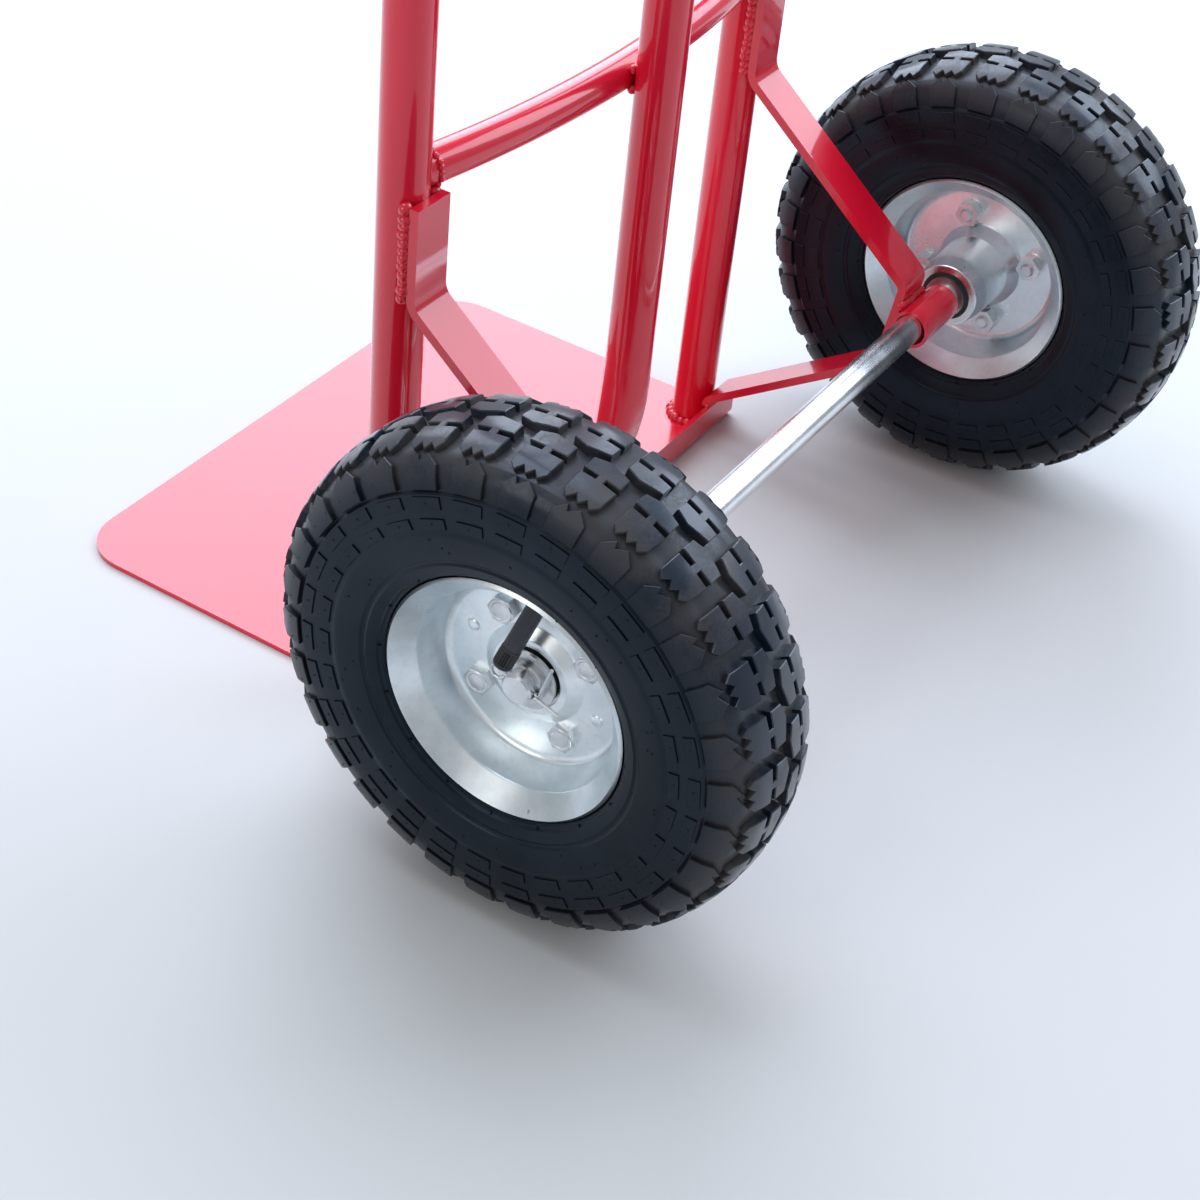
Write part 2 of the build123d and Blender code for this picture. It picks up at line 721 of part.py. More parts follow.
def write(name, shapes):
    """One STEP file for one named piece, or for a group of identical ones."""
    group = shapes if isinstance(shapes, list) else [shapes]
    solids = [solid for shape in group for solid in shape.solids()]
    piece = solids[0] if len(solids) == 1 else Compound(children=solids)
    piece.label = name
    export_step(piece, f"parts/{name}.step")


def main():
    write("toe_plate", make_toe_plate())
    write("centre_tube", make_centre_tube())
    write("centre_tube_plug", make_tube_plug())
    for index, height in enumerate(bar_heights(), start=1):
        write(f"cross_bar_{index}", make_cross_bar(height))
    write("axle", make_axle())
    wheel = make_wheel()
    for name, side in SIDES.items():
        write(f"{name}_side_rail", make_side_rail(side))
        write(f"{name}_grip", make_grip(side))
        write(f"{name}_stay", make_stay(side))
        write(f"{name}_axle_sleeve", make_sleeve(side))
        write(f"{name}_split_pin", make_split_pin(side))
        for ring_name, ring in make_axle_rings(side).items():
            write(f"{name}_{ring_name}", ring)
        turn = left_wheel_turn if side > 0 else right_wheel_turn
        for piece_name, shapes in wheel.items():
            group = shapes if isinstance(shapes, list) else [shapes]
            write(f"{name}_{piece_name}", [place_wheel(shape, side, turn) for shape in group])


main()
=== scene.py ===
import json
import random
from math import cos, copysign, pi, radians, sin

import bmesh
import bpy
from mathutils import Matrix, Vector


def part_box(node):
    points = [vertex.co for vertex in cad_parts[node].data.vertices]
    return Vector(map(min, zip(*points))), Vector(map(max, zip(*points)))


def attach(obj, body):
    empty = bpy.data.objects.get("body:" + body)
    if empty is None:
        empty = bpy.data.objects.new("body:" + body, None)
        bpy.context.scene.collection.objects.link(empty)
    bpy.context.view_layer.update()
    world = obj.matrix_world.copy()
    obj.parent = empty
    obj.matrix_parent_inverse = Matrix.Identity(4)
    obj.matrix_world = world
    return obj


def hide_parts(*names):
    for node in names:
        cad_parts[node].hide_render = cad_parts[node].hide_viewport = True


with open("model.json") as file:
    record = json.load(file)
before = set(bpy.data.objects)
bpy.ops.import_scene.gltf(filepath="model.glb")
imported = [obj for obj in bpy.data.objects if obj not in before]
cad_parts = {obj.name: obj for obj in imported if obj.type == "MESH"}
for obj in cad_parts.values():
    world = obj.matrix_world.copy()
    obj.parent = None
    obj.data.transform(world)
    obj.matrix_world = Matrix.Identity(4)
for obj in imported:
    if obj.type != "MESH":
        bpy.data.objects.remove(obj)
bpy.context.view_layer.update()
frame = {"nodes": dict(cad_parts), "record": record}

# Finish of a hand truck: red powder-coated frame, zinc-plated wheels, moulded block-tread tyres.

MM = 0.001


def middle_of(node):
    """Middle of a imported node's box, in millimetres."""
    low, high = (Vector(corner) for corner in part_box(node))
    return (low + high) / 2 / MM


AXLE = middle_of("axle")
WHEEL_X = middle_of("left_tyre").x
SIDES = {"left": 1, "right": -1}
RIGHT_WHEEL_TURN = radians(-13)


# Finishes ------------------------------------------------------------------------------------

class Signal:
    """A value on its way through a finish. Python's operators add Math nodes."""

    def __init__(self, finish, socket):
        self.finish = finish
        self.socket = socket

    def maths(self, operation, first, second):
        return self.finish.node("ShaderNodeMath", {"operation": operation}, {0: first, 1: second})

    def __add__(self, other):
        return self.maths("ADD", self, other)

    def __sub__(self, other):
        return self.maths("SUBTRACT", self, other)

    def __rsub__(self, other):
        return self.maths("SUBTRACT", other, self)

    def __mul__(self, other):
        return self.maths("MULTIPLY", self, other)

    def __pow__(self, other):
        return self.maths("POWER", self, other)

    __radd__ = __add__
    __rmul__ = __mul__


class Finish:
    """A surface finish: one Principled shader and the nodes that feed it."""

    def __init__(self, name, constants):
        self.material = bpy.data.materials.new(name)
        self.material.use_nodes = True
        self.tree = self.material.node_tree
        self.shader = self.tree.nodes["Principled BSDF"]
        self.feed(self.shader, constants)
        self.place = self.node("ShaderNodeTexCoord", output="Object")

    def feed(self, node, values):
        for socket, value in values.items():
            if isinstance(value, Signal):
                self.tree.links.new(value.socket, node.inputs[socket])
            else:
                node.inputs[socket].default_value = value

    def node(self, kind, settings=None, inputs=None, output=0):
        made = self.tree.nodes.new(kind)
        for name, value in (settings or {}).items():
            setattr(made, name, value)
        self.feed(made, inputs or {})
        return Signal(self, made.outputs[output])

    def show(self, **signals):
        """Feeds the shader: base_color goes to its Base Color socket, and so on."""
        self.feed(self.shader, {name.replace("_", " ").title(): value for name, value in signals.items()})

    def stretched(self, scale, origin=(0, 0, 0)):
        """Object coordinates about an origin in metres, stretched along each axis."""
        moved = tuple(-place * size for place, size in zip(origin, scale))
        inputs = {"Vector": self.place, "Location": moved, "Scale": scale}
        return self.node("ShaderNodeMapping", {}, inputs)

    def along(self, vector, axis):
        return self.node("ShaderNodeSeparateXYZ", {}, {0: vector}, axis)

    def cloud(self, scale, detail=2.0, roughness=0.5, vector=None):
        return self.node("ShaderNodeTexNoise", {}, {
            "Vector": vector or self.place, "Scale": scale, "Detail": detail, "Roughness": roughness})

    def fade(self, value, low, high):
        """0 below low and 1 above high, smoothly between."""
        settings = {"interpolation_type": "SMOOTHSTEP"}
        inputs = {"Value": value, "From Min": low, "From Max": high}
        return self.node("ShaderNodeMapRange", settings, inputs)

    def blend(self, share, first, second):
        """From the first colour to the second as share goes from 0 to 1."""
        return self.node("ShaderNodeMix", {"data_type": "RGBA"}, {0: share, 6: first, 7: second}, 2)

    def relief(self, height, strength, depth, below=None):
        inputs = {"Height": height, "Strength": strength, "Distance": depth}
        if below:
            inputs["Normal"] = below
        return self.node("ShaderNodeBump", {}, inputs)


def grey(value, blue=0.0):
    """A plain grey, or one that leans towards blue by a share."""
    return (value, value * (1 + blue / 2), value * (1 + blue), 1)


def powder_coat():
    """Glossy red powder coat: a slight orange peel, thin haze and a few fine scuffs."""
    coat = Finish("glossy red powder coat", {
        "Coat Weight": 1.0, "Coat Roughness": 0.04, "Coat IOR": 1.48, "Specular IOR Level": 0.3})
    peel = coat.cloud(420, 1.5)
    haze = coat.cloud(7, 3)
    scuffs = coat.fade(coat.cloud(60, 6, 0.7, coat.stretched((1, 6, 1))), 0.7, 0.78)
    cloudy = coat.fade(haze, 0.35, 0.65)
    colour = coat.blend(cloudy, (0.70, 0.004, 0.026, 1), (0.78, 0.008, 0.040, 1))
    colour = coat.blend(scuffs * 0.25, colour, (0.80, 0.22, 0.20, 1))
    coat.show(base_color=colour, roughness=0.2 + haze * 0.1 + scuffs * 0.25,
              normal=coat.relief(peel, 0.05, 0.0004))
    return coat


def zinc(name, light, dark, roughness, grain, scale):
    """Bright zinc plate with soft mottling, fine grain and a few rust specks."""
    plate = Finish(name, {"Specular IOR Level": 0.5})
    cloudy = plate.cloud(scale, 5, 0.62)
    fine = plate.cloud(scale * 14, 3, 0.6, plate.stretched(grain))
    specks = plate.fade(plate.cloud(scale * 9, 2, 0.5), 0.76, 0.80)
    colour = plate.blend(plate.fade(cloudy, 0.32, 0.68), dark, light)
    colour = plate.blend(plate.fade(fine, 0.5, 0.75) * 0.3, colour, grey(0.62, 0.08))
    colour = plate.blend(specks * 0.7, colour, (0.28, 0.15, 0.08, 1))
    plate.show(base_color=colour, metallic=1 - specks * 0.8,
               roughness=roughness + plate.fade(cloudy, 0.2, 0.8) * 0.09 + fine * 0.07,
               normal=plate.relief(fine, 0.05, 0.0003, plate.relief(cloudy, 0.04, 0.001)))
    return plate


def tyre_rubber():
    """Black moulded rubber, with road dust and a painted bluish sheen towards the crown."""
    # The blue Specular Tint is a painted reflection: it tints every reflection on the rubber blue, as blue
    # sky light would.
    rubber = Finish("moulded tyre rubber", {
        "Specular IOR Level": 0.3, "Specular Tint": (0.55, 0.76, 1.0, 1),
        "Coat Roughness": 0.16, "Coat IOR": 1.5})
    spot = rubber.stretched((1, 1, 1), (0, AXLE.y * MM, AXLE.z * MM))
    out = (rubber.along(spot, 1) ** 2 + rubber.along(spot, 2) ** 2) ** 0.5
    crown = rubber.fade(out, 0.104, 0.129)
    patches = rubber.cloud(26, 5, 0.6)
    grit = rubber.cloud(700, 3, 0.65)
    low = 1 - rubber.fade(out, 0.124, 0.128)
    dust = crown * rubber.fade(patches + grit * 0.3 + low * 0.12, 0.55, 0.85)
    colour = rubber.fade(patches, 0.3, 0.7)
    colour = rubber.blend(colour, (0.003, 0.004, 0.006, 1), (0.007, 0.009, 0.014, 1))
    # Painted sheen: the base colour turns blue towards the crown, standing in for a bluish reflection of
    # sky light there.
    colour = rubber.blend(crown * 0.5, colour, (0.014, 0.026, 0.052, 1))
    colour = rubber.blend(dust * 0.35, colour, (0.16, 0.13, 0.10, 1))
    rubber.show(base_color=colour, coat_weight=crown * 0.7 - dust * 0.6,
                roughness=0.24 + crown * 0.04 + dust * 0.2 + grit * 0.12,
                normal=rubber.relief(grit, 0.13, 0.0003, rubber.relief(patches, 0.15, 0.0012)))
    return rubber


WORN_SHADE = 2.2


def black_rubber(name, colour, roughness, scale):
    """Black rubber or plastic with a moulded grain, paler where it is worn."""
    rubber = Finish(name, {"Specular IOR Level": 0.5})
    grain = rubber.cloud(scale, 4, 0.6)
    worn = rubber.cloud(30, 4)
    pale = (*(WORN_SHADE * part for part in colour[:3]), 1)
    shade = rubber.blend(rubber.fade(worn, 0.35, 0.75), colour, pale)
    rubber.show(base_color=shade, roughness=roughness + worn * 0.15,
                normal=rubber.relief(grain, 0.08, 0.0003))
    return rubber


def floor_paint():
    floor = Finish("pale floor", {"Specular IOR Level": 0.2})
    drift = floor.cloud(1.5, 3)
    floor.show(base_color=floor.blend(drift, grey(0.62), grey(0.67)), roughness=0.8 + drift * 0.1)
    return floor


FINISHES = {
    "red_powder_coat": powder_coat(),
    "zinc_plate": zinc("zinc-plated pressed steel", (0.90, 0.95, 0.98, 1), (0.68, 0.76, 0.80, 1), 0.23,
                       (1, 1, 1), 22),
    "axle_zinc": zinc("zinc-plated drawn bar", grey(0.90, 0.05), grey(0.72, 0.07), 0.15, (0.3, 1, 1), 30),
    "bolt_zinc": zinc("zinc-plated fasteners", grey(0.80, 0.05), grey(0.58, 0.08), 0.24, (1, 1, 1), 60),
    "bearing_steel": zinc("ground bearing steel", grey(0.72), grey(0.60), 0.15, (1, 1, 1), 50),
    "tyre_rubber": tyre_rubber(),
    "tube_rubber": black_rubber("inner tube rubber", (0.020, 0.020, 0.021, 1), 0.6, 300),
    "valve_rubber": black_rubber("satin valve rubber", (0.016, 0.018, 0.024, 1), 0.22, 900),
    "seal_rubber": black_rubber("bearing seal rubber", (0.012, 0.012, 0.013, 1), 0.5, 900),
    "grip_rubber": black_rubber("moulded grip rubber", (0.018, 0.018, 0.019, 1), 0.55, 900),
    "cap_plastic": black_rubber("black cap plastic", (0.014, 0.014, 0.016, 1), 0.26, 700),
}


def finish_packed_nodes():
    """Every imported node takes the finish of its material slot."""
    for subpart in frame["record"]["subparts"]:
        node = frame["nodes"][subpart["node"]]
        for material_slot in node.material_slots:
            material_slot.material = FINISHES[subpart["material_slot"]].material


# Shaping ---------------------------------------------------------------------------------------

ONTO_AXLE = Matrix(((0, 0, 1), (1, 0, 0), (0, 1, 0))).to_4x4()
SAME_PLACE = 1e-4


def finished(name, shape, slot, body, stands_for=(), crease=35):
    """A shape in millimetres becomes a piece with its finish, riding on a body."""
    bmesh.ops.scale(shape, vec=(MM, MM, MM), verts=shape.verts)
    mesh = bpy.data.meshes.new(name)
    shape.to_mesh(mesh)
    shape.free()
    mesh.materials.append(FINISHES[slot].material)
    mesh.shade_smooth()
    mesh.set_sharp_from_angle(angle=radians(crease))
    made = bpy.data.objects.new(name, mesh)
    bpy.context.scene.collection.objects.link(made)
    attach(made, body)
    if stands_for:
        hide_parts(*stands_for)


def outward(shape):
    bmesh.ops.recalc_face_normals(shape, faces=shape.faces)


def raised_face(shape, height):
    """Raises the shape's faces into a block and gives the vertices that moved."""
    extruded = bmesh.ops.extrude_face_region(shape, geom=shape.faces[:])
    raised = [item for item in extruded["geom"] if isinstance(item, bmesh.types.BMVert)]
    bmesh.ops.translate(shape, vec=(0, 0, height), verts=raised)
    return raised


def break_edges(shape, raised, size, segments):
    """Bevels the edges that run along the raised end of a block."""
    outward(shape)
    edges = [edge for edge in shape.edges if all(vert in raised for vert in edge.verts)]
    bmesh.ops.bevel(shape, geom=edges, offset=size, segments=segments, profile=0.5, affect="EDGES",
                    material=-1)


def turned(shape, outline, closed, axis=(0, 0, 1), steps=32):
    """An outline of (along, out) points, spun full circle round an axis through the origin."""
    axis = Vector(axis)
    away = Vector((1, 0, 0)) if axis.z else Vector((0, 1, 0))
    points = [shape.verts.new(axis * along + away * out) for along, out in outline]
    pairs = list(zip(points, points[1:]))
    if closed:
        pairs.append((points[-1], points[0]))
    edges = [shape.edges.new(pair) for pair in pairs]
    bmesh.ops.spin(shape, geom=points + edges, cent=(0, 0, 0), axis=axis, angle=2 * pi, steps=steps,
                   use_merge=True)
    bmesh.ops.remove_doubles(shape, verts=shape.verts, dist=SAME_PLACE)


def add_copy(shape, pattern, matrix):
    """Adds a copy of a ready mesh, placed by a matrix."""
    before = len(shape.verts)
    shape.from_mesh(pattern)
    shape.verts.ensure_lookup_table()
    bmesh.ops.transform(shape, matrix=matrix, verts=shape.verts[before:])


def as_pattern(shape):
    pattern = bpy.data.meshes.new("pattern")
    shape.to_mesh(pattern)
    shape.free()
    return pattern


def onto_wheel(shape, side):
    """Moves a shape made about the left wheel's middle to where either wheel is."""
    if side < 0:
        turn = Matrix.Rotation(RIGHT_WHEEL_TURN, 3, "X")
        bmesh.ops.rotate(shape, cent=(0, 0, 0), matrix=turn, verts=shape.verts)
        bmesh.ops.scale(shape, vec=(-1, 1, 1), verts=shape.verts)
        bmesh.ops.reverse_faces(shape, faces=shape.faces)
    bmesh.ops.translate(shape, vec=(side * WHEEL_X, AXLE.y, AXLE.z), verts=shape.verts)


# Tyres -----------------------------------------------------------------------------------------

CROWN_RADIUS = 130.5
PITCHES = 30
PITCH = 2 * pi * CROWN_RADIUS / PITCHES
DEGREE = 2 * pi * CROWN_RADIUS / 360
CASING_STEPS = 180
CROWN_INSIDE = 122.3
FIRST_BLOCK_ANGLE = radians(5.2)
# Half of the tyre's outline, from the crown to where it meets the rim's edge, as (across, out).
TYRE_KNOTS = [(0, 130.4), (22.2, 127.4), (32.1, 120.1), (36.3, 107.9), (36.9, 91.9), (35.2, 76.6),
              (31.8, 66.7), (28.8, 64.0)]
# How far the casing lies under that outline, as (distance from the crown, depth).
CASING_DEPTHS = [(0, 4.6), (20, 4.4), (25.5, 3.4), (29.5, 2.7), (33.5, 2.3), (46.8, 2.1), (48.4, 1.05),
                 (66.0, 1.0), (68.0, 0.45), (81.0, 0.4), (82.2, 1.0), (83.2, 1.0), (84.4, 0.15),
                 (89.6, 0.15), (90.6, 0.9), (91.6, 0.9), (92.4, 0.4), (94.0, 0.4)]
# The casing's inside, from the bead's heel back up to the crown, as (across, out).
INNER_WALL = [(18.4, 54.8), (13.5, 53.4), (14.0, 60.9), (25.6, 71.3), (31.4, 86.7), (30.9, 102.6),
              (25.6, 114.9), (14.4, 121.1)]
# Corners of the mouldings in one pitch of one side: degrees round the wheel, millimetres from the crown.
TREAD_BLOCK = [(4.1, 2.9), (0.9, 0.5), (-4.2, 3.1), (-4.2, 10.6), (-1.0, 10.8), (-1.0, 13.3), (-4.3, 13.5),
               (-3.9, 24.4), (-2.4, 27.9), (-1.1, 24.8), (0.2, 28.2), (1.4, 24.6), (2.8, 28.3),
               (4.2, 25.2), (4.1, 13.4), (0.8, 13.2), (0.8, 10.7), (4.2, 10.4)]
SHOULDER_LUG = [(4.0, 46.3), (4.0, 35.2), (1.5, 30.1), (0.9, 33.2), (-1.3, 29.9), (-3.8, 34.8),
                (-3.9, 46.3)]
UPPER_PLATE = [(4.0, 49.4), (4.0, 55.2), (-4.1, 55.2), (-4.1, 49.4)]
LOWER_PLATE = [(3.9, 59.8), (3.9, 65.0), (-4.1, 65.0), (-4.1, 59.8)]
# Small pips on the lugs and plates, as the same two measures and the height of their foot.
PIPS = [(2.9, 41.2, -0.1), (-2.9, 41.2, -0.1), (0.3, 52.4, -0.25), (0.2, 62.4, -0.25)]
WALL_PIPS = 34
RIM_NUBS = 16


def smooth_line(knots, parts):
    """A smooth line through (across, out) points, mirrored at its first one."""
    points = [Vector(knot) for knot in knots]
    ends = [Vector((-points[1].x, points[1].y))] + points + [2 * points[-1] - points[-2]]
    line = []
    for before, start, end, after in zip(ends, ends[1:], ends[2:], ends[3:]):
        for part in range(parts):
            t = part / parts
            bend = (2 * before - 5 * start + 4 * end - after) * t ** 2
            twist = (3 * start - before - 3 * end + after) * t ** 3
            line.append((2 * start + (end - before) * t + bend + twist) / 2)
    return line + [points[-1]]


class Outline:
    """The tyre's outline, which can be asked for a place at a distance from the crown."""

    def __init__(self, knots):
        self.line = smooth_line(knots, 24)
        self.reach = [0.0]
        for start, end in zip(self.line, self.line[1:]):
            self.reach.append(self.reach[-1] + (end - start).length)

    def at(self, distance, lift):
        """(across, out) of a place at a distance from the crown, lifted off the outline."""
        index = 1
        while index < len(self.line) - 1 and self.reach[index] < distance:
            index += 1
        start, end = self.line[index - 1], self.line[index]
        share = (distance - self.reach[index - 1]) / (self.reach[index] - self.reach[index - 1])
        run = (end - start).normalized()
        return start + (end - start) * share + Vector((-run.y, run.x)) * lift


def casing_depth(distance):
    """How deep the casing lies at a distance from the crown."""
    for (low, first), (high, second) in zip(CASING_DEPTHS, CASING_DEPTHS[1:]):
        if distance <= high:
            return first + (second - first) * (distance - low) / (high - low)
    return CASING_DEPTHS[-1][1]


def moulding(shape, corners, top, foot, edge_break, cuts):
    """A raised moulding with broken edges, laid out flat: x round the wheel, y away from the crown."""
    made = bmesh.new()
    made.faces.new([made.verts.new((angle * DEGREE, distance, foot)) for angle, distance in corners])
    break_edges(made, raised_face(made, top - foot), edge_break, 1)
    for place, direction in cuts:
        geometry = made.verts[:] + made.edges[:] + made.faces[:]
        bmesh.ops.bisect_plane(made, geom=geometry, plane_co=place, plane_no=direction)
    pattern = as_pattern(made)
    shape.from_mesh(pattern)
    bpy.data.meshes.remove(pattern)


def tread_pitch(outline):
    """The blocks, lugs, plates and pips of one pitch, on both halves of the tyre."""
    flat = bmesh.new()
    across_cuts = [((0, distance, 0), (0, 1, 0)) for distance in (6.0, 18.0, 22.0)]
    round_cuts = [((angle * DEGREE, 0, 0), (1, 0, 0)) for angle in (-2.1, 2.1)]
    moulding(flat, TREAD_BLOCK, -0.1, -5.2, 0.45, across_cuts + round_cuts)
    lug_cuts = [((0, distance, 0), (0, 1, 0)) for distance in (35.2, 40.5)]
    moulding(flat, SHOULDER_LUG, -0.15, -2.6, 0.3, lug_cuts + round_cuts)
    for plate in (UPPER_PLATE, LOWER_PLATE):
        moulding(flat, plate, -0.3, -1.3, 0.15, round_cuts)
    for angle, distance, foot in PIPS:
        place = Matrix.Translation((angle * DEGREE, distance, foot))
        bmesh.ops.create_cone(flat, cap_ends=True, segments=8, radius1=0.95, radius2=0.5, depth=0.5,
                              matrix=place)
    one_side = as_pattern(flat)
    both = bmesh.new()
    both.from_mesh(one_side)
    bmesh.ops.scale(both, vec=(1, -1, 1), verts=both.verts)
    bmesh.ops.reverse_faces(both, faces=both.faces)
    bmesh.ops.translate(both, vec=(PITCH / 2, 0, 0), verts=both.verts)
    both.from_mesh(one_side)
    bpy.data.meshes.remove(one_side)
    for vert in both.verts:
        round_wheel, away, lift = vert.co
        across, out = outline.at(abs(away), min(lift, 0))
        angle = round_wheel / CROWN_RADIUS
        vert.co = (copysign(across, away), out * cos(angle), out * sin(angle))
    return as_pattern(both)


def casing(outline):
    """The tyre's hollow casing, with its ribs by the rim, spun round the axle."""
    distances = sorted({2.5 * index for index in range(37)} | {distance for distance, _ in CASING_DEPTHS})
    half = [outline.at(distance, -casing_depth(distance)) for distance in distances]
    half += [Vector(point) for point in INNER_WALL]
    ring = [(point.x, point.y) for point in half] + [(0, CROWN_INSIDE)]
    ring += [(-across, out) for across, out in reversed(ring[1:-1])]
    shape = bmesh.new()
    turned(shape, ring, closed=True, axis=(1, 0, 0), steps=CASING_STEPS)
    outward(shape)
    return shape


def wall_marks(outline):
    """Plain pips scattered on both side walls, and nubs by the rim."""
    dice = random.Random(7)
    shape = bmesh.new()
    pip = bmesh.new()
    bmesh.ops.create_cone(pip, cap_ends=True, segments=8, radius1=0.8, radius2=0.45, depth=0.6)
    pip = as_pattern(pip)
    for side in (1, -1):
        places = [(dice.uniform(0, 2 * pi), dice.uniform(68.5, 79)) for _ in range(WALL_PIPS)]
        places += [(2 * pi * index / RIM_NUBS, 91.2) for index in range(RIM_NUBS)]
        for angle, distance in places:
            across, out = outline.at(distance, -0.25)
            facing = outline.at(distance, 0) - outline.at(distance, -1)
            facing = Vector((side * facing.x, facing.y, 0))
            stand = facing.to_track_quat("Z", "Y").to_matrix().to_4x4()
            turn = Matrix.Rotation(angle, 4, "X")
            add_copy(shape, pip, turn @ Matrix.Translation((side * across, out, 0)) @ stand)
    bpy.data.meshes.remove(pip)
    return as_pattern(shape)


def make_tyre(name, side, outline, pitch, marks):
    """A whole tyre: casing, tread repeated round it, and the marks on its walls."""
    shape = casing(outline)
    for index in range(PITCHES):
        turn = Matrix.Rotation(FIRST_BLOCK_ANGLE + 2 * pi * index / PITCHES, 4, "X")
        add_copy(shape, pitch, turn)
    add_copy(shape, marks, Matrix())
    onto_wheel(shape, side)
    finished(f"{name}_moulded_tyre", shape, "tyre_rubber", f"{name}_wheel", [f"{name}_tyre"],
             crease=28)


# Wheel fittings --------------------------------------------------------------------------------

BOLTS = 4
BOLT_CIRCLE = 34.0
FIRST_BOLT_ANGLE = radians(33)
HEXAGON_RADIUS = 7.42
HEXAGON_HEIGHT = 3.9
THREAD_TURNS = 12
# The round dish and rim on a bolt's head, as (height, out).
DISHED_TOP = [(3.3, 0), (3.3, 3.1), (3.55, 3.8), (4.2, 4.5), (4.36, 5.2), (4.25, 5.9), (3.8, 6.35),
              (3.0, 6.4)]
RIM_SHEET = 2.0
DIMPLE_CIRCLE = 36.0
FIRST_DIMPLE_ANGLE = radians(-17)
VALVE_FOOT_ANGLE = radians(84.6)
VALVE_CIRCLE = 49.7
VALVE_FOOT = Vector((10.0, VALVE_CIRCLE * cos(VALVE_FOOT_ANGLE), VALVE_CIRCLE * sin(VALVE_FOOT_ANGLE)))
VALVE_OUT = radians(21.8)
VALVE_ASIDE = radians(15.5)
VALVE_WAY = Vector((sin(VALVE_OUT), -cos(VALVE_OUT) * sin(VALVE_ASIDE),
                    -cos(VALVE_OUT) * cos(VALVE_ASIDE)))
CAP_START = 27.6
CAP_LENGTH = 10.7
CAP_RADIUS = 4.85
CAP_RIBS = 18
CAP_GROOVE = 0.84


def hexagon_bolt():
    """A bolt along Z from under its head: chamfered hexagon, dished top and a threaded end."""
    bolt = bmesh.new()
    bmesh.ops.create_circle(bolt, cap_ends=True, segments=6, radius=HEXAGON_RADIUS,
                            matrix=Matrix.Rotation(pi / 2, 4, "Z"))
    break_edges(bolt, raised_face(bolt, HEXAGON_HEIGHT), 0.55, 2)
    turned(bolt, DISHED_TOP, closed=False, steps=36)
    thread = [(0.0, 4.0)]
    for index in range(THREAD_TURNS):
        low = -1.0 - index
        thread += [(low, 3.95), (low - 0.5, 3.5)]
    turned(bolt, thread + [(-13.4, 3.4), (-14.0, 2.9), (-14.1, 0)], closed=False, steps=24)
    outward(bolt)
    return as_pattern(bolt)


def make_bolts(name, side, bolt):
    shape = bmesh.new()
    for index in range(BOLTS):
        angle = FIRST_BOLT_ANGLE + 2 * pi * index / BOLTS
        place = Matrix.Translation((RIM_SHEET, BOLT_CIRCLE * cos(angle), BOLT_CIRCLE * sin(angle)))
        add_copy(shape, bolt, place @ ONTO_AXLE)
    onto_wheel(shape, side)
    finished(f"{name}_hexagon_bolts", shape, "bolt_zinc", f"{name}_wheel", [f"{name}_rim_bolts"])


def make_dimples(name, side):
    """The two small round pips pressed out of the rim's disc."""
    pip = bmesh.new()
    turned(pip, [(-0.3, 0), (-0.3, 3.4), (0, 3.4), (0.45, 3.05), (0.95, 2.3), (1.15, 1.3), (1.2, 0)],
           closed=False, steps=24)
    outward(pip)
    pip = as_pattern(pip)
    shape = bmesh.new()
    for angle in (FIRST_DIMPLE_ANGLE, FIRST_DIMPLE_ANGLE + pi):
        place = Matrix.Translation((RIM_SHEET, DIMPLE_CIRCLE * cos(angle), DIMPLE_CIRCLE * sin(angle)))
        add_copy(shape, pip, place @ ONTO_AXLE)
    onto_wheel(shape, side)
    finished(f"{name}_rim_dimples", shape, "zinc_plate", f"{name}_wheel")


def valve_place(along):
    """Stands a shape made along Z on the valve's own line."""
    turn = Vector((0, 0, 1)).rotation_difference(VALVE_WAY).to_matrix().to_4x4()
    return Matrix.Translation(VALVE_FOOT + VALVE_WAY * along) @ turn


def make_valve_trim(name, side):
    """The ribbed dust cap, and the rubber lip where the stem comes through the rim."""
    cap = bmesh.new()
    bmesh.ops.create_circle(cap, cap_ends=True, segments=CAP_RIBS * 2, radius=CAP_RADIUS)
    for index, vert in enumerate(cap.verts):
        if index % 2:
            vert.co *= CAP_GROOVE
    raised_face(cap, CAP_LENGTH - 2.0)
    turned(cap, [(0, 0), (0, CAP_RADIUS), (0.9, CAP_RADIUS), (1.2, 4.4)], closed=False, steps=36)
    dome = [(2.6, 4.5), (1.4, 4.55), (0.5, 4.0), (0.15, 2.6), (0.5, 1.9), (0.5, 0)]
    turned(cap, [(CAP_LENGTH - down, out) for down, out in dome], closed=False, steps=36)
    outward(cap)
    bmesh.ops.transform(cap, matrix=valve_place(CAP_START), verts=cap.verts)
    onto_wheel(cap, side)
    finished(f"{name}_ribbed_valve_cap", cap, "cap_plastic", f"{name}_wheel", [f"{name}_valve_cap"],
             crease=25)
    lip = bmesh.new()
    turned(lip, [(0.0, 4.5), (0.0, 6.2), (0.8, 6.5), (1.7, 6.0), (2.4, 5.0), (4.2, 4.65), (4.4, 4.5)],
           closed=True, steps=36)
    outward(lip)
    bmesh.ops.transform(lip, matrix=valve_place(0.2), verts=lip.verts)
    onto_wheel(lip, side)
    finished(f"{name}_valve_lip", lip, "valve_rubber", f"{name}_wheel")


# Frame details ---------------------------------------------------------------------------------

RAIL_RADIUS = 12.5
FLANGE_TOP = 20.5
CROSS_BARS = 4


def bead_pattern():
    """One round weld drop, 1 mm in radius."""
    blob = bmesh.new()
    bmesh.ops.create_uvsphere(blob, u_segments=10, v_segments=7, radius=1)
    return as_pattern(blob)


